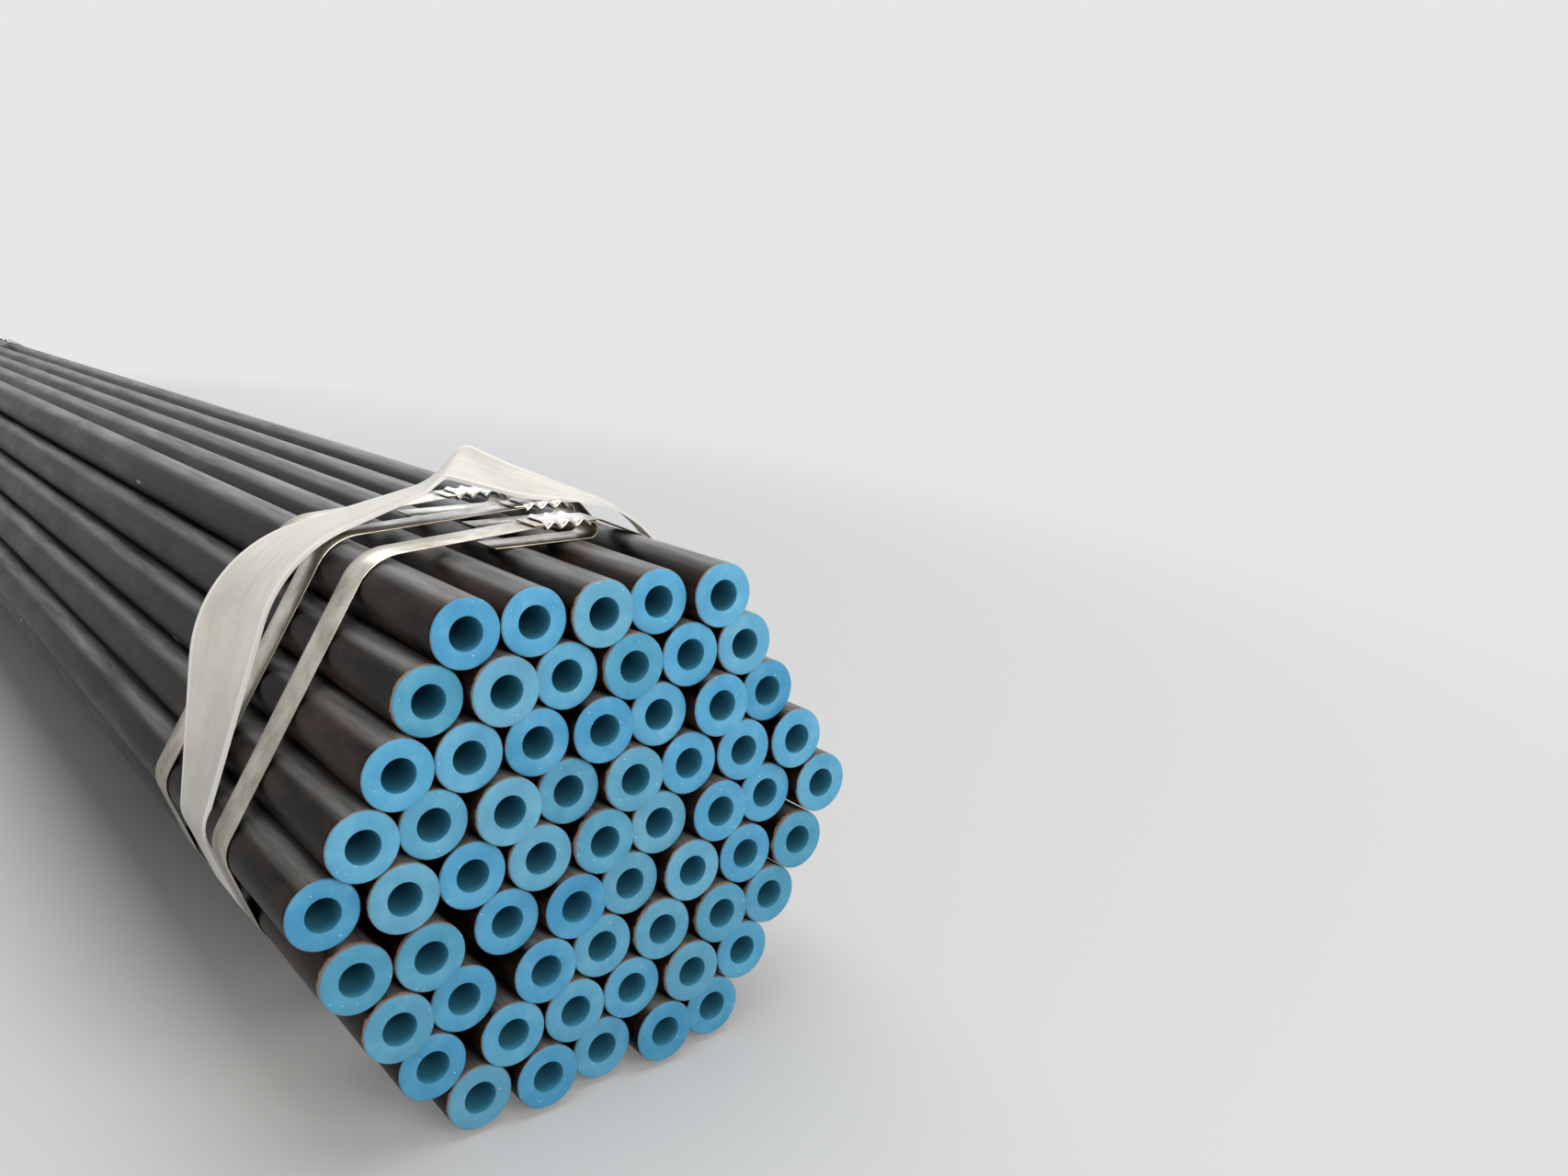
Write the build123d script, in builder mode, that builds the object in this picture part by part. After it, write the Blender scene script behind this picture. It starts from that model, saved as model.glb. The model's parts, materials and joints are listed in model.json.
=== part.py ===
from build123d import *
from math import atan2, cos, radians, sin, sqrt, tau
import os

# Bundle of thick-walled steel pipes in a hexagonal stack, held by crimped steel straps, with a
# webbing sling round each end. X runs across the stack, Y along the pipes and Z up. The origin is
# on the floor, halfway along the pipes and under the middle of the stack. All sizes are in mm.

# Pipes
pipe_length = 6000.0
pipe_od = 48.3
pipe_wall = 12.5
end_chamfer = 1.0
end_stagger = 5.0

# Stack, as pipes in each row from the top down
row_counts = (5, 6, 7, 8, 9, 8, 7, 6, 5)
side_gap = 1.1
seat_gap = 0.3
slumped_pipes = 2
left_slump = 8.0
right_slump = 5.0

# Steel straps, each in one strip that overlaps itself in a seal on top of the stack
strap_width = 32.0
strap_thick = 0.9
layer_gap = 0.3
hairpin_radius = 6.0
hairpin_reach = 1.0
bend_reach = 8.0
tail_length = 80.0
cut_end_reach = 9.0
shoulder_radius = 8.0
bow_across = 10.0
bow_down = 8.0

# Crimped seals
seal_length = 38.0
seal_wall = 1.0
seal_side_gap = 0.5
crimp_count = 3
crimp_depth = 2.2
crimp_rim = 3.2

# Lifting slings, each a closed loop of flat webbing
sling_width = 60.0
sling_thick = 3.0
sling_lean = 0.17

# Guides that the slack webbing follows over the stack along each of its edges, as (across, up,
# radius): right shoulder, right hollow, peak, left hollow, left shoulder. A shoulder is placed
# from the centre of the top pipe on its side, and the others from the middle of the stack's top.
outer_edge_guides = (
    (-6.0, -60.5, 100.0),
    (83.0, 166.5, -147.0),
    (-15.0, 34.0, 9.0),
    (-49.0, 61.0, -32.0),
    (37.0, -70.5, 112.0),
)
inner_edge_guides = (
    (13.0, -64.5, 102.0),
    (135.5, 175.5, -150.0),
    (32.0, 45.5, 12.0),
    (-34.0, 88.5, -63.0),
    (6.0, -78.5, 112.0),
)

# Places along the pipes, measured on top of the stack from the nearer end to the middle of a strap
near_straps = (137.0, 217.0, 293.0)
far_straps = (142.0, 221.0, 301.0)
mid_strap_spacing = 76.0
near_sling = 235.0
far_sling = 240.0

# How far in from the centre of the top right pipe each strap bends over towards its seal
near_bend_insets = (30.0, 5.0, 29.0)
far_bend_insets = (22.0, 17.0, 27.0)
mid_bend_insets = (20.0, 28.0)

pipe_radius = pipe_od / 2
pitch = pipe_od + side_gap
row_rise = sqrt((pipe_od + seat_gap) ** 2 - (pitch / 2) ** 2)
wrap_radius = pipe_radius + seat_gap
bow_radius = wrap_radius + sqrt(bow_across**2 + bow_down**2)
sling_radius = wrap_radius + strap_thick + seat_gap
middle_row = len(row_counts) // 2
last_row = len(row_counts) - 1
middle_height = sling_thick + sling_radius + middle_row * row_rise
stack_top = middle_height + middle_row * row_rise + pipe_radius
half_length = pipe_length / 2


def slump(row, place):
    """How far a pipe has moved sideways where the lower corners of the stack have slumped."""
    slumped = min(slumped_pipes, last_row - row) if row > middle_row else 0
    if place < slumped:
        return -left_slump
    if place >= row_counts[row] - slumped:
        return right_slump
    return 0.0


def pipe_centre(row, place):
    """Centre of a pipe in the XZ plane; a slumped pipe has rolled down over the one below it."""
    aside = slump(row, place)
    x = (place - (row_counts[row] - 1) / 2) * pitch + aside
    drop = row_rise - sqrt((pipe_od + seat_gap) ** 2 - (pitch / 2 + abs(aside)) ** 2)
    return x, middle_height + (middle_row - row) * row_rise - drop


def stagger(row, place):
    """How far a pipe sticks out of the flush end of the stack, or stands back from it."""
    return end_stagger * sin(1.9 * row + 2.7 * place)


def hull(points):
    """Corners of the tightest loop round the points, anticlockwise, without near-straight ones."""
    least_turn = radians(0.5)
    ordered = sorted(points)
    corners = []
    for side in (ordered, ordered[::-1]):
        chain = []
        for x, z in side:
            while len(chain) > 1:
                (x1, z1), (x2, z2) = chain[-2:]
                turn = (x2 - x1) * (z - z2) - (z2 - z1) * (x - x2)
                if turn > least_turn * (pitch**2):
                    break
                chain.pop()
            chain.append((x, z))
        corners += chain[:-1]
    return corners


def tangent(first, second):
    """Outward direction, as a unit vector, of the straight run from one pulley to the next."""
    (x1, z1, r1), (x2, z2, r2) = first, second
    span = sqrt((x2 - x1) ** 2 + (z2 - z1) ** 2)
    ux, uz = (x2 - x1) / span, (z2 - z1) / span
    along = (r1 - r2) / span
    across = sqrt(1 - along**2)
    return along * ux + across * uz, along * uz - across * ux


def belt(pulleys, lift=0.0, closed=False):
    """Lines and arcs that run anticlockwise round pulleys (x, z, radius), lifted off them.

    A pulley of negative radius lies outside the loop and bends it inwards. A pulley of no radius
    ends an open belt.
    """
    runs = list(zip(pulleys, pulleys[1:] + pulleys[:1]))
    if not closed:
        runs.pop()
    normals = [tangent(first, second) for first, second in runs]
    for index, ((first, second), normal) in enumerate(zip(runs, normals)):
        start, finish = [
            (x + (r + lift) * normal[0], z + (r + lift) * normal[1]) for x, z, r in (first, second)
        ]
        Line(start, finish)
        if index + 1 < len(runs) or closed:
            after = normals[(index + 1) % len(normals)]
            x, z, r = second
            begin = atan2(normal[1], normal[0])
            sweep = (atan2(after[1], after[0]) - begin) % tau
            if r < 0:
                sweep -= tau
            arc = [
                (x + (r + lift) * cos(begin + part * sweep), z + (r + lift) * sin(begin + part * sweep))
                for part in (0, 0.5, 1)
            ]
            ThreePointArc(*arc)


def taut(pulleys):
    """Leaves out each pulley, first and last apart, that a taut belt would pass untouched."""
    kept = list(pulleys)
    index = 1
    while index < len(kept) - 1:
        before = tangent(kept[index - 1], kept[index])
        after = tangent(kept[index], kept[index + 1])
        if before[0] * after[1] > before[1] * after[0]:
            index += 1
        else:
            del kept[index]
            index = max(index - 1, 1)
    return kept


def upright(y):
    """Vertical plane across the pipes, with X to the right and Z up."""
    return Plane(origin=(0, y, 0), x_dir=(1, 0, 0), z_dir=(0, -1, 0))


outline = hull(
    [pipe_centre(row, place) for row, count in enumerate(row_counts) for place in (0, count - 1)]
)
top_left = pipe_centre(0, 0)
top_right = pipe_centre(0, row_counts[0] - 1)
turn_start = outline.index(top_left)
strapped = outline[turn_start:] + outline[:turn_start]

hairpin_height = stack_top + seat_gap + strap_thick + hairpin_radius
lower_layer = hairpin_height + hairpin_radius
upper_layer = lower_layer + strap_thick + layer_gap
seal_height = (lower_layer + upper_layer + strap_thick) / 2


def make_pipe():
    """One pipe along +Y from the origin, with the outer edge of both cut ends chamfered."""
    with BuildPart() as pipe:
        with BuildSketch(upright(0)):
            Circle(pipe_radius)
            Circle(pipe_radius - pipe_wall, mode=Mode.SUBTRACT)
        extrude(amount=-pipe_length)
        rims = pipe.edges().filter_by(GeomType.CIRCLE).group_by(SortBy.RADIUS)[-1]
        chamfer(rims, end_chamfer)
    return pipe.part


def make_row(pipe, row):
    """All pipes of one row, side by side with a gap between them."""
    places = [
        (x, stagger(row, place) - half_length, z)
        for place, (x, z) in ((place, pipe_centre(row, place)) for place in range(row_counts[row]))
    ]
    with BuildPart() as pipes:
        with Locations(*places):
            add(pipe)
    return pipes.part


def make_strap(y, seal_right):
    """One strip: tail, hairpin, lower layer in the seal, round the stack, upper layer, cut end."""
    seal_left = seal_right - seal_length
    hairpin = (seal_right + hairpin_reach, hairpin_height, hairpin_radius)
    left_shoulder = (seal_left, lower_layer - shoulder_radius, shoulder_radius)
    left_bow = (top_left[0] + bow_across, top_left[1] - bow_down, bow_radius)
    around = [(x, z, wrap_radius) for x, z in strapped if (x, z) != top_left]
    right_shoulder = (seal_right + bend_reach, upper_layer - shoulder_radius, shoulder_radius)
    pulleys = [
        (seal_right + hairpin_reach - tail_length, hairpin_height - hairpin_radius, 0),
        hairpin,
        *taut([left_shoulder, left_bow, *around, right_shoulder]),
        (seal_left - cut_end_reach, upper_layer, 0),
    ]
    tail_x, tail_z = pulleys[0][:2]
    cut_x, cut_z = pulleys[-1][:2]
    with BuildPart() as strap:
        with BuildSketch(upright(y)):
            with BuildLine():
                belt(pulleys)
                belt(pulleys, lift=strap_thick)
                Line((tail_x, tail_z), (tail_x, tail_z - strap_thick))
                Line((cut_x, cut_z), (cut_x, cut_z + strap_thick))
            make_face()
        extrude(amount=strap_width / 2, both=True)
    return strap.part


def make_seal(y, seal_right):
    """Flattened sleeve round both layers, its two long rims crimped into a zigzag."""
    seal_x = seal_right - seal_length / 2
    half_height = strap_thick + 1.5 * layer_gap
    half_width = strap_width / 2 + seal_side_gap
    flank_plane = Plane(origin=(seal_x, y, seal_height), x_dir=(0, 1, 0), z_dir=(1, 0, 0))
    step = seal_length / (2 * crimp_count)
    crest = [
        (seal_x - seal_length / 2 + index * step, crimp_depth * (1 if index % 2 else -1))
        for index in range(2 * crimp_count + 1)
    ]
    with BuildPart() as seal:
        with BuildSketch(flank_plane):
            Rectangle(2 * (half_width + seal_wall), 2 * (half_height + seal_wall))
            Rectangle(2 * half_width, 2 * half_height, mode=Mode.SUBTRACT)
        extrude(amount=seal_length / 2, both=True)
        for side in (-1, 1):
            rim_middle = y + side * (half_width + crimp_rim / 2)
            with BuildSketch(upright(rim_middle)):
                with BuildLine():
                    Polyline(
                        *((x, seal_height + half_height / 2 + z) for x, z in crest),
                        *((x, seal_height - half_height / 2 + z) for x, z in reversed(crest)),
                        close=True,
                    )
                make_face()
            extrude(amount=crimp_rim / 2, both=True)
    return seal.part


def sling_loop(guides, stretch):
    """Pulleys of the webbing loop: the stack's sides and foot, then the guides over its top."""
    foot = [(x, z, sling_radius) for x, z in strapped if (x, z) not in (top_left, top_right)]
    top_middle = (0, stack_top)
    anchors = (top_right, top_middle, top_middle, top_middle, top_left)
    slack = [
        (x + across, z + up, radius) for (x, z), (across, up, radius) in zip(anchors, guides)
    ]
    return [(x, z * stretch, radius * stretch) for x, z, radius in foot + slack]


def make_sling(y, lean):
    """Webbing loop, ruled from its outer edge to the inner one, which stands prouder.

    Its edges lie on planes that lean by the given amount and are placed at the stack's top.
    """
    stretch = sqrt(1 + lean**2)
    inward = 1 if lean > 0 else -1
    edges = (
        (y - inward * sling_width / 2, outer_edge_guides),
        (y + inward * sling_width / 2, inner_edge_guides),
    )
    with BuildPart() as sling:
        for lift, mode in ((sling_thick * stretch, Mode.ADD), (0, Mode.SUBTRACT)):
            sections = []
            for edge_y, guides in edges:
                leaning = Plane(
                    origin=(0, edge_y - lean * stack_top, 0), x_dir=(1, 0, 0), z_dir=(0, -1, lean)
                )
                with BuildSketch(leaning) as section:
                    with BuildLine():
                        belt(sling_loop(guides, stretch), lift=lift, closed=True)
                    make_face()
                sections.append(section.sketch)
            loft(sections, ruled=True, mode=mode)
    return sling.part


os.makedirs("parts", exist_ok=True)


def save(part, name):
    part.label = name
    export_step(part, f"parts/{name}.step")


single_pipe = make_pipe()
for row in range(len(row_counts)):
    save(make_row(single_pipe, row), f"pipes_row_{row + 1}")

near_stations = [(place - half_length, inset) for place, inset in zip(near_straps, near_bend_insets)]
mid_stations = [(side * mid_strap_spacing / 2, inset) for side, inset in zip((-1, 1), mid_bend_insets)]
far_stations = [(half_length - place, inset) for place, inset in zip(far_straps, far_bend_insets)]
for number, (y, inset) in enumerate(near_stations + mid_stations + far_stations, start=1):
    seal_right = top_right[0] - inset - bend_reach
    save(make_strap(y, seal_right), f"steel_strap_{number}")
    save(make_seal(y, seal_right), f"strap_seal_{number}")

save(make_sling(near_sling - half_length, sling_lean), "lifting_sling_near")
save(make_sling(half_length - far_sling, -sling_lean), "lifting_sling_far")
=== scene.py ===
import json
from itertools import accumulate
from math import atan2, copysign, cos, hypot, pi, sin, tau

import bmesh
import bpy
from mathutils import Matrix, Vector, noise
from mathutils.bvhtree import BVHTree


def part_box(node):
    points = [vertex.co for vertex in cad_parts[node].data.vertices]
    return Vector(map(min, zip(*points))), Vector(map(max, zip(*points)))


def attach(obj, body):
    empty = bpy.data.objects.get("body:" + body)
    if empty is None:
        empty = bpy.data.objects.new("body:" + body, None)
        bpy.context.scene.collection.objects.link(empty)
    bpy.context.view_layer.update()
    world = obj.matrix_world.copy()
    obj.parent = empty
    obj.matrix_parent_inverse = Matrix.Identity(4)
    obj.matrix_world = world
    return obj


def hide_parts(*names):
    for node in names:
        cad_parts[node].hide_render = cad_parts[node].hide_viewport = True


# Bundle of black lacquered steel pipes with blue painted ends, steel straps and webbing slings.
# Lengths are in metres. X runs across the bundle, Y along the pipes and Z up.

mm = 0.001
# Corners of a mesh that are closer than this are one
weld = 0.002 * mm

# Pipes, with rings of vertices at these distances from their ends, and the places of a pipe's
# three finishes in its list of materials
pipe_segments = 64
end_chamfer = 1.0 * mm
edge_rounding = 0.35 * mm
pipe_rings = (6 * mm, 30 * mm, 150 * mm, 700 * mm)
painted, oversprayed = 1, 2

# Straps, with the edges of the strip broken
strap_width = 32 * mm
strap_edge = 0.2 * mm

# Seals: a flattened sleeve of sheet with waves pressed into its rims. The lower a roundness is,
# the squarer the sleeve. The crimps die out over their reach, squeeze the sleeve flatter by
# their share and flare it wider.
seal_wall = 1.0 * mm
seal_sheet = 0.8 * mm
seal_half_height = 2.0 * mm
side_roundness, face_roundness = 0.45, 0.6
seal_segments, seal_cuts = 48, 35
crimp_count = 3
crimp_depth = 2.2 * mm
crimp_reach = 9 * mm
crimp_flare = 1.2 * mm
crimp_squeeze = 0.45
crimp_fade = 1.5

# Slings: the cloth is a grid of steps round the loop and cuts across its width
sling_width = 60 * mm
sling_thick = 3 * mm
sling_lean = 0.17
sling_inset = 0.3 * mm
sling_steps, sling_cuts = 720, 16

# Angles in radians: past its crease an edge is sharp, and within the flat angle faces are one
soft_crease, rim_crease, strap_crease, sling_crease = 0.6, 0.5, 1.2, 1.0
flat_angle = 0.01

# Floor, which fades into the background between these distances from the bundle's middle
floor_reach = 60
fade_start, fade_end = 1.1, 2.6

# Camera, where it stands for the photograph's view of the near end
camera_place = Vector((-0.4386, -3.7462, 0.5871))
camera_forward = Vector((0.6078, 0.7598, -0.2308))
camera_up = Vector((0.1253, 0.1952, 0.9727))
camera_lens = 29.87
camera_sensor = 36.0

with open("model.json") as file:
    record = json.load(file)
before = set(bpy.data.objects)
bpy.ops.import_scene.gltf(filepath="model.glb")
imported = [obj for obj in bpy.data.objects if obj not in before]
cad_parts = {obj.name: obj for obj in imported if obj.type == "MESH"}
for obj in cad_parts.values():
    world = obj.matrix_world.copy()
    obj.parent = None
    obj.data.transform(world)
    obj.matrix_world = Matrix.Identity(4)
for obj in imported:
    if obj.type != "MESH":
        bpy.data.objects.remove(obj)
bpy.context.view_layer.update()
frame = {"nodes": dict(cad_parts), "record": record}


def srgb(code):
    """Linear colour of an sRGB hex value."""
    channels = [int(code[i:i + 2], 16) / 255 for i in (1, 3, 5)]
    linear = [c / 12.92 if c <= 0.04045 else ((c + 0.055) / 1.055) ** 2.4 for c in channels]
    return (*linear, 1.0)


def new_material(name):
    """An empty node material and its tree."""
    material = bpy.data.materials.new(name)
    material.use_nodes = True
    material.node_tree.nodes.clear()
    return material, material.node_tree


def add(tree, kind, inputs=None, stops=None, **settings):
    """Adds a node with its settings, and with values or links on its inputs, named or numbered."""
    made = tree.nodes.new(kind)
    for name, value in settings.items():
        setattr(made, name, value)
    for key, value in (inputs or {}).items():
        if isinstance(value, bpy.types.NodeSocket):
            tree.links.new(value, made.inputs[key])
        else:
            made.inputs[key].default_value = value
    if stops:
        elements = made.color_ramp.elements
        while len(elements) < len(stops):
            elements.new(0.5)
        for element, (position, colour) in zip(elements, stops):
            element.position = position
            element.color = colour
    return made


def black_lacquer():
    """Black lacquer flow-coated over mill scale: satin black with long rolling streaks, a painted
    highlight along its crest, and brown rust film and bare rims near the cut ends."""
    material, tree = new_material("black_lacquer")
    place = add(tree, "ShaderNodeTexCoord")
    local = add(tree, "ShaderNodeAttribute", attribute_name="pipe_local", attribute_type="GEOMETRY")
    tone = add(tree, "ShaderNodeAttribute", attribute_name="pipe_tone", attribute_type="GEOMETRY")
    local_axes = add(tree, "ShaderNodeSeparateXYZ", {"Vector": local.outputs["Vector"]})
    depth = local_axes.outputs["Y"]
    facing = add(tree, "ShaderNodeSeparateXYZ", {"Vector": place.outputs["Normal"]})

    # Rolling streaks 4 mm wide and 200 mm long
    along = add(
        tree, "ShaderNodeMapping", {"Vector": place.outputs["Object"], "Scale": (1, 0.02, 1)}
    )
    streaks = add(
        tree,
        "ShaderNodeTexNoise",
        {"Vector": along.outputs[0], "Scale": 1 / (4 * mm), "Detail": 4, "Roughness": 0.6},
    )
    # Blotches of thicker and thinner lacquer, 36 mm wide and 120 mm long
    stretched = add(
        tree, "ShaderNodeMapping", {"Vector": place.outputs["Object"], "Scale": (1, 0.3, 1)}
    )
    blotches = add(
        tree,
        "ShaderNodeTexNoise",
        {"Vector": stretched.outputs[0], "Scale": 1 / (36 * mm), "Detail": 6, "Roughness": 0.65},
    )
    base = add(
        tree,
        "ShaderNodeValToRGB",
        {"Fac": streaks.outputs["Fac"]},
        stops=((0.3, srgb("#020202")), (0.55, srgb("#050505")), (0.8, srgb("#0f0e0e"))),
    )

    # Brown rust film, mostly within half a metre of a cut end
    near_end = add(
        tree,
        "ShaderNodeMapRange",
        {
            "Value": depth,
            "From Min": 50 * mm,
            "From Max": 600 * mm,
            "To Min": 0.12,
            "To Max": -0.04,
        },
        interpolation_type="SMOOTHSTEP",
    )
    rust_level = add(
        tree,
        "ShaderNodeMath",
        {0: blotches.outputs["Fac"], 1: near_end.outputs["Result"]},
        operation="ADD",
    )
    rust = add(
        tree,
        "ShaderNodeMapRange",
        {"Value": rust_level.outputs[0], "From Min": 0.54, "From Max": 0.72, "To Max": 0.8},
    )
    rusted = add(
        tree,
        "ShaderNodeMix",
        {"Factor": rust.outputs["Result"], "A": base.outputs["Color"], "B": srgb("#3c2c23")},
        data_type="RGBA",
    )

    # Painted highlight along the crest, a pale sheen in wisps 9 mm wide and 150 mm long
    drawn_out = add(
        tree, "ShaderNodeMapping", {"Vector": place.outputs["Object"], "Scale": (1, 0.06, 1)}
    )
    fine = add(
        tree,
        "ShaderNodeTexNoise",
        {"Vector": drawn_out.outputs[0], "Scale": 1 / (9 * mm), "Detail": 6, "Roughness": 0.6},
    )
    upward = add(
        tree,
        "ShaderNodeMapRange",
        {"Value": facing.outputs["Z"], "From Min": 0.76, "From Max": 1.0},
        interpolation_type="SMOOTHSTEP",
    )
    patchy = add(
        tree,
        "ShaderNodeMapRange",
        {
            "Value": fine.outputs["Fac"],
            "From Min": 0.34,
            "From Max": 0.66,
            "To Min": 0.15,
            "To Max": 0.68,
        },
    )
    crest_highlight = add(
        tree,
        "ShaderNodeMath",
        {0: upward.outputs["Result"], 1: patchy.outputs["Result"]},
        operation="MULTIPLY",
    )
    # Painted highlight: pale grey mixed into the colour along the crest in place of a sheen
    crest_highlighted = add(
        tree,
        "ShaderNodeMix",
        {"Factor": crest_highlight.outputs[0], "A": rusted.outputs["Result"], "B": srgb("#9c9c98")},
        data_type="RGBA",
    )

    # Scuffs down to bright metal, 3 mm wide and 17 mm long, where the lacquer is thin, with no
    # more than one in 26 by 130 mm
    drawn_across = add(
        tree, "ShaderNodeMapping", {"Vector": place.outputs["Object"], "Scale": (1, 0.2, 1)}
    )
    spots = add(
        tree,
        "ShaderNodeTexVoronoi",
        {"Vector": drawn_across.outputs[0], "Scale": 1 / (26 * mm)},
        feature="F1",
    )
    scuff_spot = add(
        tree,
        "ShaderNodeMapRange",
        {"Value": spots.outputs["Distance"], "From Min": 0.09, "From Max": 0.04},
    )
    scuff_patch = add(
        tree,
        "ShaderNodeMapRange",
        {"Value": blotches.outputs["Fac"], "From Min": 0.55, "From Max": 0.6},
    )
    scuff = add(
        tree,
        "ShaderNodeMath",
        {0: scuff_spot.outputs["Result"], 1: scuff_patch.outputs["Result"]},
        operation="MULTIPLY",
    )
    scuffed = add(
        tree,
        "ShaderNodeMix",
        {"Factor": scuff.outputs[0], "A": crest_highlighted.outputs["Result"], "B": srgb("#a9a7a2")},
        data_type="RGBA",
    )

    # Bare rusty rim behind the cut, up to 8 mm wide, wider on some pipes than on others and
    # ragged every 6 mm
    ragged = add(
        tree,
        "ShaderNodeTexNoise",
        {"Vector": place.outputs["Object"], "Scale": 1 / (6 * mm), "Detail": 3},
    )
    rim_width = add(
        tree,
        "ShaderNodeMapRange",
        {
            "Value": tone.outputs["Fac"],
            "From Min": 0.1,
            "From Max": 1.0,
            "To Min": 1 * mm,
            "To Max": 8 * mm,
        },
    )
    rim_edge = add(
        tree,
        "ShaderNodeMath",
        {0: ragged.outputs["Fac"], 1: rim_width.outputs["Result"]},
        operation="MULTIPLY",
    )
    beyond = add(tree, "ShaderNodeMath", {0: rim_edge.outputs[0], 1: depth}, operation="SUBTRACT")
    rim = add(
        tree,
        "ShaderNodeMapRange",
        {"Value": beyond.outputs[0], "From Min": -0.6 * mm, "From Max": 0.8 * mm},
    )
    rimmed = add(
        tree,
        "ShaderNodeMix",
        {"Factor": rim.outputs["Result"], "A": scuffed.outputs["Result"], "B": srgb("#a08272")},
        data_type="RGBA",
    )

    rough = add(
        tree, "ShaderNodeMapRange", {"Value": blotches.outputs["Fac"], "To Min": 0.2, "To Max": 0.5}
    )
    relief = add(
        tree,
        "ShaderNodeBump",
        {"Height": streaks.outputs["Fac"], "Strength": 0.25, "Distance": 0.25 * mm},
    )
    scale_relief = add(
        tree,
        "ShaderNodeBump",
        {
            "Height": blotches.outputs["Fac"],
            "Normal": relief.outputs["Normal"],
            "Strength": 0.3,
            "Distance": 0.8 * mm,
        },
    )
    surface = add(
        tree,
        "ShaderNodeBsdfPrincipled",
        {
            "Base Color": rimmed.outputs["Result"],
            "Roughness": rough.outputs["Result"],
            "Normal": scale_relief.outputs["Normal"],
            # A weak shine, since chalked lacquer stays black even at low angles
            "IOR": 1.3,
            "Specular IOR Level": 0.13,
        },
    )
    add(tree, "ShaderNodeOutputMaterial", {"Surface": surface.outputs[0]})
    return material


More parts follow.
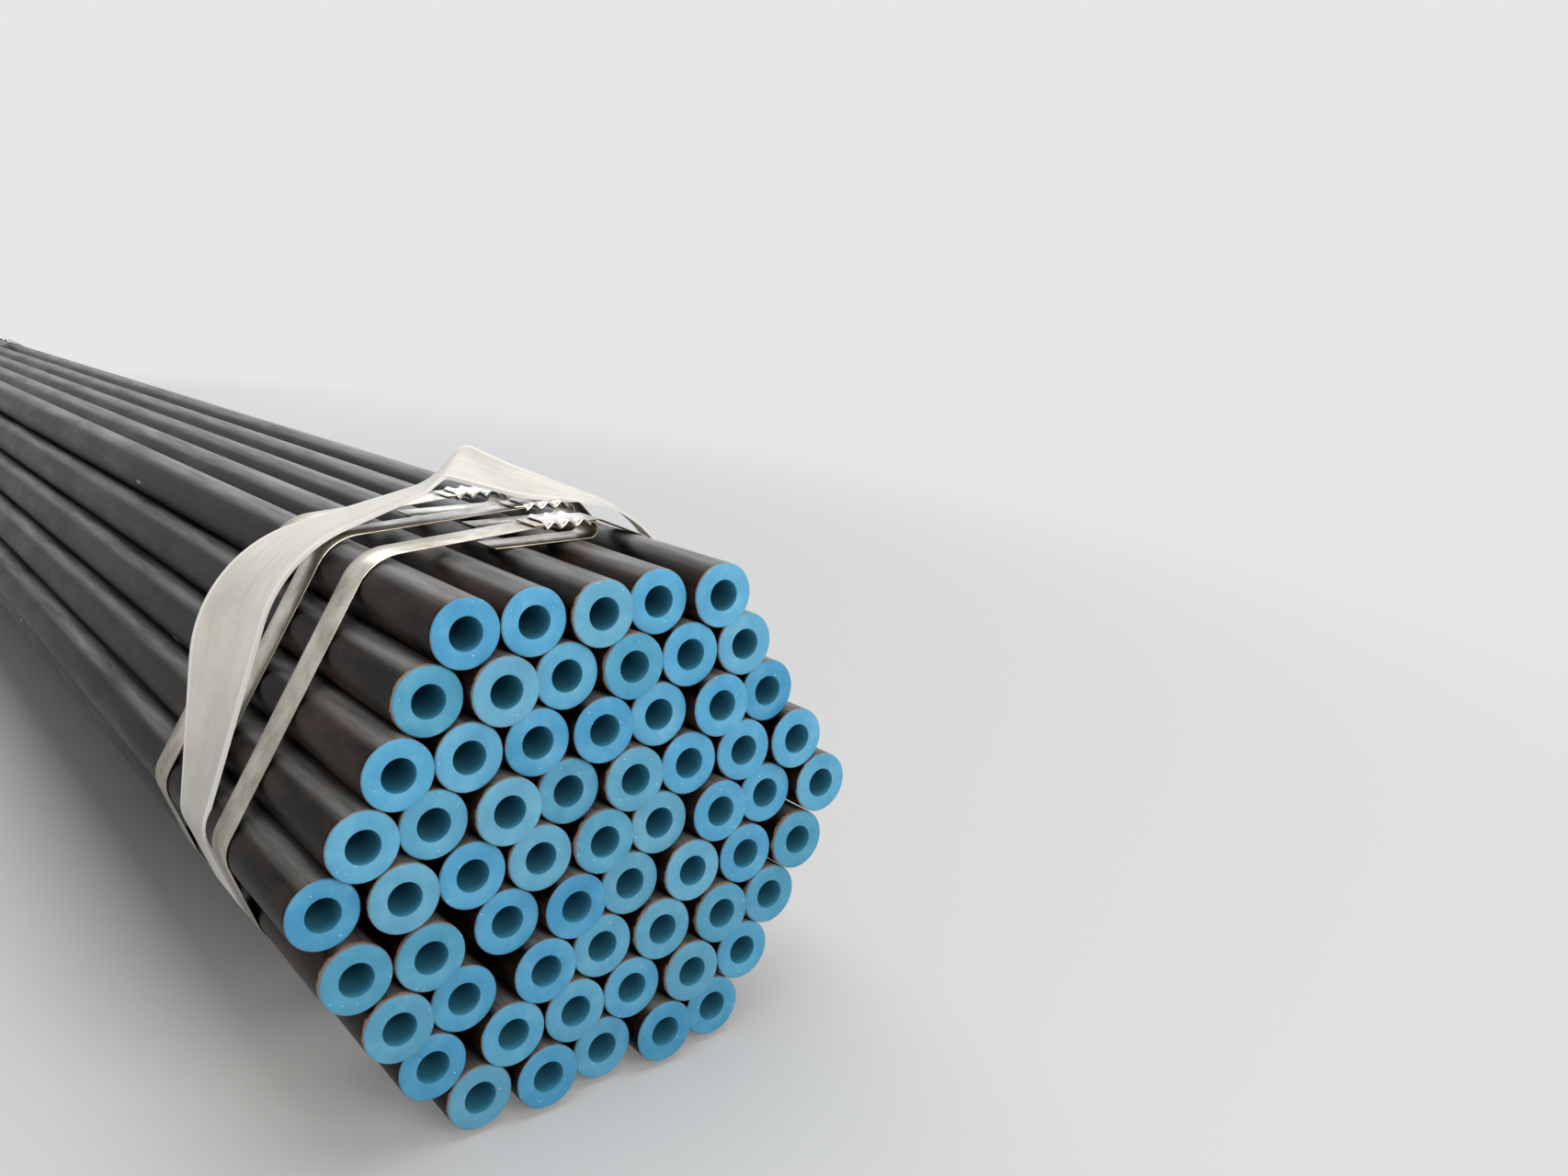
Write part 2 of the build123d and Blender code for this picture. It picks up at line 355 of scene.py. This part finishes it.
def end_paint():
    """Sky blue marking paint brushed over the saw-cut end: uneven in depth from pipe to pipe,
    thin at the outer edge, with small nicks down to bright metal."""
    material, tree = new_material("end_paint")
    place = add(tree, "ShaderNodeTexCoord")
    local = add(tree, "ShaderNodeAttribute", attribute_name="pipe_local", attribute_type="GEOMETRY")
    tone = add(tree, "ShaderNodeAttribute", attribute_name="pipe_tone", attribute_type="GEOMETRY")
    local_axes = add(tree, "ShaderNodeSeparateXYZ", {"Vector": local.outputs["Vector"]})
    from_axis = add(
        tree,
        "ShaderNodeCombineXYZ",
        {"X": local_axes.outputs["X"], "Z": local_axes.outputs["Z"]},
    )
    radius = add(tree, "ShaderNodeVectorMath", {0: from_axis.outputs[0]}, operation="LENGTH")

    # Paint laid on in patches 22 mm across
    patches = add(
        tree,
        "ShaderNodeTexNoise",
        {"Vector": place.outputs["Object"], "Scale": 1 / (22 * mm), "Detail": 5, "Roughness": 0.6},
    )
    blue = add(
        tree,
        "ShaderNodeValToRGB",
        {"Fac": patches.outputs["Fac"]},
        stops=((0.3, srgb("#2f83b0")), (0.52, srgb("#4a9fc8")), (0.75, srgb("#79bbd8"))),
    )
    tints = add(
        tree,
        "ShaderNodeValToRGB",
        {"Fac": tone.outputs["Fac"]},
        stops=(
            (0.0, srgb("#2b86b8")),
            (0.35, srgb("#54a8d4")),
            (0.7, srgb("#6fa9be")),
            (1.0, srgb("#3a8fab")),
        ),
    )
    toned = add(
        tree,
        "ShaderNodeMix",
        {"Factor": 0.5, "A": blue.outputs["Color"], "B": tints.outputs["Color"]},
        data_type="RGBA",
    )

    # Thin paint towards the outer edge, where brown metal shows through in 9 mm bites
    ragged = add(
        tree,
        "ShaderNodeTexNoise",
        {"Vector": place.outputs["Object"], "Scale": 1 / (9 * mm), "Detail": 4},
    )
    uneven = add(
        tree,
        "ShaderNodeMapRange",
        {"Value": ragged.outputs["Fac"], "To Min": -2.2 * mm, "To Max": 2.2 * mm},
    )
    reach = add(
        tree,
        "ShaderNodeMath",
        {0: radius.outputs["Value"], 1: uneven.outputs["Result"]},
        operation="ADD",
    )
    bare = add(
        tree,
        "ShaderNodeMapRange",
        {
            "Value": reach.outputs[0],
            "From Min": 23.2 * mm,
            "From Max": 24.6 * mm,
            "To Max": 0.85,
        },
    )
    edged = add(
        tree,
        "ShaderNodeMix",
        {"Factor": bare.outputs["Result"], "A": toned.outputs["Result"], "B": srgb("#84705f")},
        data_type="RGBA",
    )

    # Darker blue towards the floor, so more on the lower pipes
    height = add(tree, "ShaderNodeSeparateXYZ", {"Vector": place.outputs["Object"]})
    low = add(
        tree,
        "ShaderNodeMapRange",
        {"Value": height.outputs["Z"], "From Min": 380 * mm, "From Max": 0.0, "To Max": 0.4},
    )
    darker_below = add(
        tree,
        "ShaderNodeMix",
        {"Factor": low.outputs["Result"], "A": edged.outputs["Result"], "B": srgb("#2b6a88")},
        data_type="RGBA",
    )

    # Nicks 1 mm wide, about 8 mm apart
    specks = add(
        tree,
        "ShaderNodeTexVoronoi",
        {"Vector": place.outputs["Object"], "Scale": 1 / (8 * mm)},
        feature="F1",
    )
    nick = add(
        tree,
        "ShaderNodeMapRange",
        {"Value": specks.outputs["Distance"], "From Min": 0.08, "From Max": 0.05},
    )
    nicked = add(
        tree,
        "ShaderNodeMix",
        {"Factor": nick.outputs["Result"], "A": darker_below.outputs["Result"], "B": srgb("#b9cfd6")},
        data_type="RGBA",
    )
    # Rings left by the cutting tool, drawn 0.8 mm apart so that they show
    rings = add(
        tree,
        "ShaderNodeMath",
        {0: radius.outputs["Value"], 1: tau / (0.8 * mm)},
        operation="MULTIPLY",
    )
    groove = add(tree, "ShaderNodeMath", {0: rings.outputs[0]}, operation="SINE")
    relief = add(
        tree,
        "ShaderNodeBump",
        {"Height": groove.outputs[0], "Strength": 0.12, "Distance": 0.05 * mm},
    )
    lumps = add(
        tree,
        "ShaderNodeBump",
        {
            "Height": patches.outputs["Fac"],
            "Normal": relief.outputs["Normal"],
            "Strength": 0.3,
            "Distance": 0.6 * mm,
        },
    )
    surface = add(
        tree,
        "ShaderNodeBsdfPrincipled",
        {
            "Base Color": nicked.outputs["Result"],
            "Roughness": 0.5,
            "Normal": lumps.outputs["Normal"],
            "IOR": 1.5,
        },
    )
    add(tree, "ShaderNodeOutputMaterial", {"Surface": surface.outputs[0]})
    return material


def bore_overspray():
    """Inside of the pipe: blue overspray at the mouth that gives way to dark scale."""
    material, tree = new_material("bore_overspray")
    place = add(tree, "ShaderNodeTexCoord")
    local = add(tree, "ShaderNodeAttribute", attribute_name="pipe_local", attribute_type="GEOMETRY")
    local_axes = add(tree, "ShaderNodeSeparateXYZ", {"Vector": local.outputs["Vector"]})
    # Spatter 11 mm across, which ends some 90 mm in
    mottle = add(
        tree,
        "ShaderNodeTexNoise",
        {"Vector": place.outputs["Object"], "Scale": 1 / (11 * mm), "Detail": 4},
    )
    uneven = add(
        tree,
        "ShaderNodeMapRange",
        {"Value": mottle.outputs["Fac"], "To Min": -6 * mm, "To Max": 6 * mm},
    )
    depth = add(
        tree,
        "ShaderNodeMath",
        {0: local_axes.outputs["Y"], 1: uneven.outputs["Result"]},
        operation="ADD",
    )
    faded = add(
        tree,
        "ShaderNodeMapRange",
        {"Value": depth.outputs[0], "From Min": 0.0, "From Max": 90 * mm},
    )
    colour = add(
        tree,
        "ShaderNodeValToRGB",
        {"Fac": faded.outputs["Result"]},
        stops=(
            (0.0, srgb("#3f8fae")),
            (0.1, srgb("#3a849c")),
            (0.4, srgb("#2a6680")),
            (0.75, srgb("#1b3f57")),
            (1.0, srgb("#141d24")),
        ),
    )
    relief = add(
        tree,
        "ShaderNodeBump",
        {"Height": mottle.outputs["Fac"], "Strength": 0.3, "Distance": 0.5 * mm},
    )
    surface = add(
        tree,
        "ShaderNodeBsdfPrincipled",
        {
            "Base Color": colour.outputs["Color"],
            "Roughness": 0.62,
            "Normal": relief.outputs["Normal"],
        },
    )
    add(tree, "ShaderNodeOutputMaterial", {"Surface": surface.outputs[0]})
    return material


def strapping_steel(name, pale, dark, rough_low, rough_high):
    """Cold-rolled steel, waxed on the straps and flashed with zinc on the seals: bright, with
    rolling lines along the strip and a warm bloom of tarnish."""
    material, tree = new_material(name)
    place = add(tree, "ShaderNodeTexCoord")
    # Rolling lines along the strip, 1.5 mm apart, which is coarser than real so that they show
    lengthwise = add(
        tree, "ShaderNodeMapping", {"Vector": place.outputs["Object"], "Scale": (0.04, 1, 0.04)}
    )
    lines = add(
        tree,
        "ShaderNodeTexNoise",
        {"Vector": lengthwise.outputs[0], "Scale": 1 / (1.5 * mm), "Detail": 3},
    )
    # Bloom of tarnish 38 mm across
    bloom = add(
        tree,
        "ShaderNodeTexNoise",
        {"Vector": place.outputs["Object"], "Scale": 1 / (38 * mm), "Detail": 5, "Roughness": 0.6},
    )
    tarnish = add(
        tree,
        "ShaderNodeValToRGB",
        {"Fac": bloom.outputs["Fac"]},
        stops=((0.35, srgb(pale)), (0.72, srgb(dark))),
    )
    # Darker and browner towards the floor
    height = add(tree, "ShaderNodeSeparateXYZ", {"Vector": place.outputs["Object"]})
    low = add(
        tree,
        "ShaderNodeMapRange",
        {"Value": height.outputs["Z"], "From Min": 360 * mm, "From Max": 80 * mm, "To Max": 0.5},
    )
    darker_below = add(
        tree,
        "ShaderNodeMix",
        {"Factor": low.outputs["Result"], "A": tarnish.outputs["Color"], "B": srgb("#6b6152")},
        data_type="RGBA",
    )
    rough = add(
        tree,
        "ShaderNodeMapRange",
        {
            "Value": bloom.outputs["Fac"],
            "From Min": 0.3,
            "From Max": 0.7,
            "To Min": rough_low,
            "To Max": rough_high,
        },
    )
    relief = add(
        tree,
        "ShaderNodeBump",
        {"Height": lines.outputs["Fac"], "Strength": 0.15, "Distance": 0.1 * mm},
    )
    surface = add(
        tree,
        "ShaderNodeBsdfPrincipled",
        {
            "Base Color": darker_below.outputs["Result"],
            "Metallic": 1.0,
            "Roughness": rough.outputs["Result"],
            "Normal": relief.outputs["Normal"],
        },
    )
    add(tree, "ShaderNodeOutputMaterial", {"Surface": surface.outputs[0]})
    return material


def woven_webbing():
    """Woven polyester webbing, undyed: cream white, with warp ribs along it, fine weft across
    it, paler selvedges, grey soiling and painted shade towards the floor."""
    material, tree = new_material("woven_polyester_webbing")
    place = add(tree, "ShaderNodeTexCoord")
    cloth = add(tree, "ShaderNodeUVMap", uv_map="webbing")
    axes = add(tree, "ShaderNodeSeparateXYZ", {"Vector": cloth.outputs["UV"]})
    # Warp ribs 3 mm wide and weft floats 2 mm long, in metres of cloth
    ribs = add(
        tree, "ShaderNodeMath", {0: axes.outputs["X"], 1: tau / (3 * mm)}, operation="MULTIPLY"
    )
    rib = add(tree, "ShaderNodeMath", {0: ribs.outputs[0]}, operation="COSINE")
    picks = add(
        tree, "ShaderNodeMath", {0: axes.outputs["Y"], 1: tau / (2 * mm)}, operation="MULTIPLY"
    )
    slant = add(tree, "ShaderNodeMath", {0: picks.outputs[0], 1: ribs.outputs[0]}, operation="ADD")
    pick = add(tree, "ShaderNodeMath", {0: slant.outputs[0]}, operation="SINE")
    weave = add(tree, "ShaderNodeMath", {0: rib.outputs[0], 1: pick.outputs[0]}, operation="ADD")

    # Streaks that follow the warp, 6 mm wide and 150 mm long, and grime 110 mm across
    stretched = add(
        tree, "ShaderNodeMapping", {"Vector": cloth.outputs["UV"], "Scale": (1, 0.04, 1)}
    )
    streaks = add(
        tree,
        "ShaderNodeTexNoise",
        {"Vector": stretched.outputs[0], "Scale": 1 / (6 * mm), "Detail": 4, "Roughness": 0.6},
    )
    soil = add(
        tree,
        "ShaderNodeTexNoise",
        {"Vector": place.outputs["Object"], "Scale": 1 / (110 * mm), "Detail": 5, "Roughness": 0.6},
    )
    cream = add(
        tree,
        "ShaderNodeValToRGB",
        {"Fac": streaks.outputs["Fac"]},
        stops=((0.3, srgb("#d9d4c8")), (0.5, srgb("#e2ddd2")), (0.7, srgb("#eae6dd"))),
    )
    # Painted shade: the cloth greys towards the floor, added on top of the grime
    height = add(tree, "ShaderNodeSeparateXYZ", {"Vector": place.outputs["Object"]})
    low = add(
        tree,
        "ShaderNodeMapRange",
        {
            "Value": height.outputs["Z"],
            "From Min": 50 * mm,
            "From Max": 320 * mm,
            "To Min": 0.22,
            "To Max": -0.02,
        },
    )
    grime_and_shade_level = add(
        tree, "ShaderNodeMath", {0: soil.outputs["Fac"], 1: low.outputs["Result"]}, operation="ADD"
    )
    grime_and_shade = add(
        tree,
        "ShaderNodeMapRange",
        {"Value": grime_and_shade_level.outputs[0], "From Min": 0.45, "From Max": 0.8, "To Max": 0.7},
    )
    # Grey mix of real grime and painted shade towards the floor
    soiled_and_shaded = add(
        tree,
        "ShaderNodeMix",
        {"Factor": grime_and_shade.outputs["Result"], "A": cream.outputs["Color"], "B": srgb("#a8a198")},
        data_type="RGBA",
    )
    # Paler selvedges 3 mm wide along both edges
    from_edge = add(
        tree,
        "ShaderNodeMath",
        {0: axes.outputs["X"], 1: sling_width / 2, 2: sling_width / 2 - 3 * mm},
        operation="COMPARE",
    )
    inner = add(
        tree,
        "ShaderNodeMix",
        {"Factor": from_edge.outputs[0], "A": srgb("#f0eee9"), "B": soiled_and_shaded.outputs["Result"]},
        data_type="RGBA",
    )
    relief = add(
        tree,
        "ShaderNodeBump",
        {"Height": weave.outputs[0], "Strength": 0.18, "Distance": 0.12 * mm},
    )
    surface = add(
        tree,
        "ShaderNodeBsdfPrincipled",
        {
            "Base Color": inner.outputs["Result"],
            "Roughness": 0.85,
            "Normal": relief.outputs["Normal"],
            "Sheen Weight": 0.3,
            "Sheen Roughness": 0.5,
        },
    )
    add(tree, "ShaderNodeOutputMaterial", {"Surface": surface.outputs[0]})
    return material


def merged(node):
    """A copy of a CAD node's mesh with its loose triangles joined up."""
    bm = bmesh.new()
    bm.from_mesh(frame["nodes"][node].data)
    bmesh.ops.remove_doubles(bm, verts=bm.verts, dist=weld)
    return bm


def new_piece(name, bm, materials, node):
    """Makes the piece's object, which rides on the bundle in place of the CAD node."""
    mesh = bpy.data.meshes.new(name)
    bm.to_mesh(mesh)
    bm.free()
    for material in materials:
        mesh.materials.append(material)
    piece = bpy.data.objects.new(name, mesh)
    bpy.context.scene.collection.objects.link(piece)
    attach(piece, "root")
    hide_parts(node)
    return piece


def shade(bm, crease=soft_crease):
    """Smooth shading, with a hard edge wherever two faces meet at more than the crease angle."""
    for face in bm.faces:
        face.smooth = True
    for edge in bm.edges:
        edge.smooth = len(edge.link_faces) == 2 and edge.calc_face_angle(0) < crease


def solids(bm):
    """Lowest and highest corner of each separate solid of a mesh, from left to right."""
    left = set(bm.verts)
    found = []
    while left:
        waiting = [left.pop()]
        part = []
        while waiting:
            vert = waiting.pop()
            part.append(vert.co)
            for edge in vert.link_edges:
                other = edge.other_vert(vert)
                if other in left:
                    left.remove(other)
                    waiting.append(other)
        low = Vector(min(co[axis] for co in part) for axis in range(3))
        high = Vector(max(co[axis] for co in part) for axis in range(3))
        found.append((low, high))
    return sorted(found, key=lambda corners: corners[0].x)


def pipe_form(radius, bore, length):
    """One pipe about the Y axis, with chamfered ends, rounded edges and rings of vertices where
    its finish changes."""
    half = length / 2
    rings = [half - ring for ring in pipe_rings]
    outer = [half - end_chamfer, *rings, 0, *(-y for y in reversed(rings)), end_chamfer - half]
    inner = [-half, *(-y for y in rings), 0, *reversed(rings), half]
    outline = (
        [(radius - end_chamfer, half)]
        + [(radius, y) for y in outer]
        + [(radius - end_chamfer, -half)]
        + [(bore, y) for y in inner]
    )
    bm = bmesh.new()
    corners = [bm.verts.new((r, y, 0)) for r, y in outline]
    edges = [bm.edges.new(pair) for pair in zip(corners, corners[1:] + corners[:1])]
    bmesh.ops.spin(
        bm,
        geom=corners + edges,
        cent=(0, 0, 0),
        axis=(0, 1, 0),
        angle=tau,
        steps=pipe_segments,
        use_merge=True,
    )
    bmesh.ops.remove_doubles(bm, verts=bm.verts, dist=weld)
    bmesh.ops.recalc_face_normals(bm, faces=bm.faces)
    rims = [edge for edge in bm.edges if edge.calc_face_angle(0) > rim_crease]
    bmesh.ops.bevel(
        bm,
        geom=rims,
        offset=edge_rounding,
        segments=2,
        profile=0.5,
        affect="EDGES",
        material=-1,
    )
    for face in bm.faces:
        middle = face.calc_center_median()
        away = hypot(middle.x, middle.z)
        if away < bore + edge_rounding / 2:
            face.material_index = oversprayed
        elif half - abs(middle.y) < end_chamfer:
            face.material_index = painted
    shade(bm)
    return bm


def make_row(node, materials):
    """The pipes of one row, each with its own tone and its place from its own axis and end."""
    places = solids(merged(node))
    low, high = places[0]
    length = high.y - low.y
    form = pipe_form((high.z - low.z) / 2, bore_radius, length)
    master = bpy.data.meshes.new("pipe_form")
    form.to_mesh(master)
    form.free()
    bm = bmesh.new()
    local = bm.verts.layers.float_vector.new("pipe_local")
    tone = bm.verts.layers.float.new("pipe_tone")
    for low, high in places:
        middle = (low + high) / 2
        shift = noise.random()
        start = len(bm.verts)
        bm.from_mesh(master)
        bm.verts.ensure_lookup_table()
        for vert in bm.verts[start:]:
            vert[local] = (vert.co.x, length / 2 - abs(vert.co.y), vert.co.z)
            vert[tone] = shift
            vert.co += middle
    bpy.data.meshes.remove(master)
    new_piece(node.replace("pipes_", "pipe_"), bm, materials, node)


def make_strap(node, material):
    """A strap with the edges of its strip broken."""
    bm = merged(node)
    bmesh.ops.dissolve_limit(bm, angle_limit=flat_angle, verts=bm.verts, edges=bm.edges)
    sharp = [edge for edge in bm.edges if edge.calc_face_angle(0) > strap_crease]
    bmesh.ops.bevel(
        bm, geom=sharp, offset=strap_edge, segments=2, profile=0.5, affect="EDGES", material=-1
    )
    shade(bm)
    new_piece(node.replace("steel_strap", "strap"), bm, [material], node)


def open_tube(segments, cuts):
    """An open tube of radius 1 from -1 to 1 in Z, with cuts along it, to be bent into shape."""
    bm = bmesh.new()
    bmesh.ops.create_cone(bm, cap_ends=False, segments=segments, radius1=1, radius2=1, depth=2)
    upright = [edge for edge in bm.edges if abs(edge.verts[0].co.z - edge.verts[1].co.z) > 1]
    bmesh.ops.subdivide_edges(bm, edges=upright, cuts=cuts, use_grid_fill=True)
    return bm


def blunted(value, power):
    """A sine or cosine raised to a power below one, which squares the circle that it draws."""
    return copysign(abs(value) ** power, value)


def make_seal(node, material):
    """Flattened sleeve whose two long rims are pressed into waves that die out inwards."""
    low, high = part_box(node)
    middle = (low + high) / 2
    length = high.x - low.x
    half_width = strap_width / 2 + seal_wall
    bm = open_tube(seal_segments, seal_cuts)
    for vert in bm.verts:
        turn = atan2(vert.co.y, vert.co.x)
        along = vert.co.z
        # A flattened ring: wide in Y, thin in Z, with blunt ends
        y = half_width * blunted(cos(turn), side_roundness)
        z = seal_half_height * blunted(sin(turn), face_roundness)
        # Pressed flatter and wider at the rims, and into waves
        inwards = (half_width - abs(y)) / crimp_reach
        pressed = max(0.0, 1 - inwards) ** crimp_fade
        wave = -cos(pi * (along + 1) * crimp_count)
        vert.co = (
            middle.x + along * length / 2,
            middle.y + y + copysign(crimp_flare * pressed, y),
            middle.z + z * (1 - crimp_squeeze * pressed) + wave * pressed * crimp_depth,
        )
    bmesh.ops.recalc_face_normals(bm, faces=bm.faces)
    bmesh.ops.solidify(bm, geom=bm.faces[:], thickness=seal_sheet)
    shade(bm)
    new_piece(node.replace("strap_seal", "seal"), bm, [material], node)


def lay_cloth(node, foot_y):
    """A fine grid of cloth that rays from the middle of the CAD loop lay on its inside, and its
    warp lines, each a list of turn, vertex and place across the cloth."""
    tree = BVHTree.FromBMesh(merged(node))
    lean = sling_lean if foot_y < 0 else -sling_lean
    low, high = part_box(node)
    hub = Vector((0, 0, (low.z + high.z) / 2))
    bm = open_tube(sling_steps, sling_cuts)
    warp_lines = {}
    for vert in bm.verts:
        turn = atan2(vert.co.y, vert.co.x)
        across = vert.co.z * (sling_width / 2 - sling_inset)
        warp_lines.setdefault(round(vert.co.z, 4), []).append((turn, vert, across))
        start = Vector((0, foot_y + lean * hub.z + across, hub.z))
        ray = Vector((cos(turn), lean * sin(turn), sin(turn)))
        vert.co = tree.ray_cast(start, ray)[0]
    bm.verts.index_update()
    bmesh.ops.recalc_face_normals(bm, faces=bm.faces)
    # Known fault: hub lies half a bundle away along the pipes, which turns the near sling's faces
    # the wrong way, so that its cloth is thickened inwards
    face = next(iter(bm.faces))
    if face.normal.dot(face.calc_center_median() - hub) < 0:
        bmesh.ops.reverse_faces(bm, faces=bm.faces)
    return bm, warp_lines.values()


def map_cloth(bm, warp_lines):
    """Gives the cloth its place when flat as a UV map, in metres, and returns the mean length of
    its warp lines."""
    uv = bm.loops.layers.uv.new("webbing")
    flat = {}
    lengths = []
    for line in warp_lines:
        line.sort(key=lambda entry: entry[0])
        points = [vert.co for turn, vert, across in line]
        steps = [(b - a).length for a, b in zip(points, points[1:] + points[:1])]
        runs = list(accumulate(steps, initial=0.0))
        lengths.append(runs[-1])
        for (turn, vert, across), run in zip(line, runs):
            flat[vert.index] = (across + sling_width / 2, run, turn, runs[-1])
    for face in bm.faces:
        # Faces that close the loop end one full length on, not back at its start
        turns = [flat[loop.vert.index][2] for loop in face.loops]
        closing = max(turns) - min(turns) > pi
        for loop in face.loops:
            across, run, turn, length = flat[loop.vert.index]
            loop[uv].uv = (across, run + (length if closing and turn < 0 else 0))
    return sum(lengths) / len(lengths)


def make_sling(node, foot_y, material):
    """Loop of flat webbing, draped over the top row with its slack standing up."""
    bm, warp_lines = lay_cloth(node, foot_y)
    mean_length = map_cloth(bm, warp_lines)
    # Known fault: the faces of the thickened cloth end up wound inside out
    bmesh.ops.solidify(bm, geom=bm.faces[:], thickness=-sling_thick)
    shade(bm, sling_crease)
    piece = new_piece(node.replace("lifting_", ""), bm, [material], node)


def make_floor(background):
    """Pale floor that fades into the background with distance, so that it has no far edge."""
    material, tree = new_material("pale_floor")
    place = add(tree, "ShaderNodeTexCoord")
    squeezed = add(
        tree, "ShaderNodeMapping", {"Vector": place.outputs["Object"], "Scale": (1, 0.5, 1)}
    )
    away = add(tree, "ShaderNodeVectorMath", {0: squeezed.outputs[0]}, operation="LENGTH")
    fade = add(
        tree,
        "ShaderNodeMapRange",
        {"Value": away.outputs["Value"], "From Min": fade_start, "From Max": fade_end},
        interpolation_type="SMOOTHSTEP",
    )
    near = add(tree, "ShaderNodeBsdfDiffuse", {"Color": srgb("#d9d8d6")})
    far = add(tree, "ShaderNodeEmission", {"Color": background, "Strength": 1.0})
    both = add(
        tree,
        "ShaderNodeMixShader",
        {0: fade.outputs["Result"], 1: near.outputs[0], 2: far.outputs[0]},
    )
    add(tree, "ShaderNodeOutputMaterial", {"Surface": both.outputs[0]})
    bm = bmesh.new()
    bmesh.ops.create_grid(bm, x_segments=1, y_segments=1, size=floor_reach)
    mesh = bpy.data.meshes.new("floor")
    bm.to_mesh(mesh)
    bm.free()
    mesh.materials.append(material)
    floor = bpy.data.objects.new("floor", mesh)
    bpy.context.scene.collection.objects.link(floor)


def make_world(background):
    """Soft even light, and a pale background for what the camera and reflections see."""
    world = bpy.data.worlds.new("studio")
    world.use_nodes = True
    tree = world.node_tree
    tree.nodes.clear()
    path = add(tree, "ShaderNodeLightPath")
    clear = add(
        tree,
        "ShaderNodeMath",
        {0: path.outputs["Is Camera Ray"], 1: path.outputs["Is Transmission Ray"]},
        operation="MAXIMUM",
    )
    seen = add(
        tree,
        "ShaderNodeMath",
        {0: clear.outputs[0], 1: path.outputs["Is Glossy Ray"]},
        operation="MAXIMUM",
    )
    light = add(tree, "ShaderNodeBackground", {"Color": srgb("#f2f4f7"), "Strength": 0.4})
    shown = add(tree, "ShaderNodeBackground", {"Color": background, "Strength": 1.0})
    both = add(
        tree,
        "ShaderNodeMixShader",
        {0: seen.outputs[0], 1: light.outputs[0], 2: shown.outputs[0]},
    )
    add(tree, "ShaderNodeOutputWorld", {"Surface": both.outputs[0]})
    bpy.context.scene.world = world


def make_light(name, place, aim, size, watts, colour):
    """A soft box, as wide and long as the size says, that points at the aim."""
    lamp = bpy.data.lights.new(name, "AREA")
    lamp.shape = "RECTANGLE"
    lamp.size, lamp.size_y = size
    lamp.energy = watts
    lamp.color = srgb(colour)[:3]
    light = bpy.data.objects.new(name, lamp)
    light.location = place
    light.rotation_euler = (Vector(aim) - Vector(place)).to_track_quat("-Z", "Y").to_euler()
    light.visible_camera = False
    bpy.context.scene.collection.objects.link(light)


def make_camera():
    """Camera at the viewing angle of the photograph."""
    data = bpy.data.cameras.new("camera")
    data.lens = camera_lens
    data.sensor_width = camera_sensor
    data.sensor_fit = "HORIZONTAL"
    data.clip_end = 200
    camera = bpy.data.objects.new("camera", data)
    forward = camera_forward.normalized()
    right = forward.cross(camera_up).normalized()
    up = right.cross(forward)
    turned = Matrix((right, up, -forward)).transposed().to_4x4()
    camera.matrix_world = Matrix.Translation(camera_place) @ turned
    bpy.context.scene.collection.objects.link(camera)
    bpy.context.scene.camera = camera


scene = bpy.context.scene
scene.view_settings.view_transform = "Standard"
noise.seed_set(7)

mounts = {mount["name"]: mount for mount in frame["record"]["mounts"]}
bore_radius = mounts["bore_row_1_pipe_1"]["dims"]["r_mm"] * mm

make_camera()
background = srgb("#e6e7e8")
make_world(background)
make_floor(background)
# Soft boxes: place, aim, width and length, watts and colour
make_light("overhead", (0.5, 0, 3.2), (0.5, 0.001, 0), (2.6, 9.0), 120, "#fbfdff")
make_light("front", (0.4, -6.4, 1.5), (0, -3.0, 0.2), (2.0, 2.0), 80, "#fffaf2")
make_light("rim", (2.9, 1.9, 2.0), (0, -2.6, 0.4), (3.4, 2.4), 26, "#e9f2ff")

lacquer = black_lacquer()
paint = end_paint()
overspray = bore_overspray()
strap_steel = strapping_steel("wax_finished_strapping_steel", "#cfcabe", "#7f7361", 0.24, 0.4)
seal_steel = strapping_steel("zinc_flashed_seal_steel", "#d3d2cd", "#9d9b93", 0.24, 0.4)
webbing = woven_webbing()

for node in sorted(frame["nodes"]):
    if node.startswith("pipes_row"):
        make_row(node, [lacquer, paint, overspray])
    elif node.startswith("steel_strap"):
        make_strap(node, strap_steel)
    elif node.startswith("strap_seal"):
        make_seal(node, seal_steel)
for side in ("near", "far"):
    foot = mounts[f"floor_rest_{side}"]["pos_m"]
    make_sling(f"lifting_sling_{side}", foot[1], webbing)
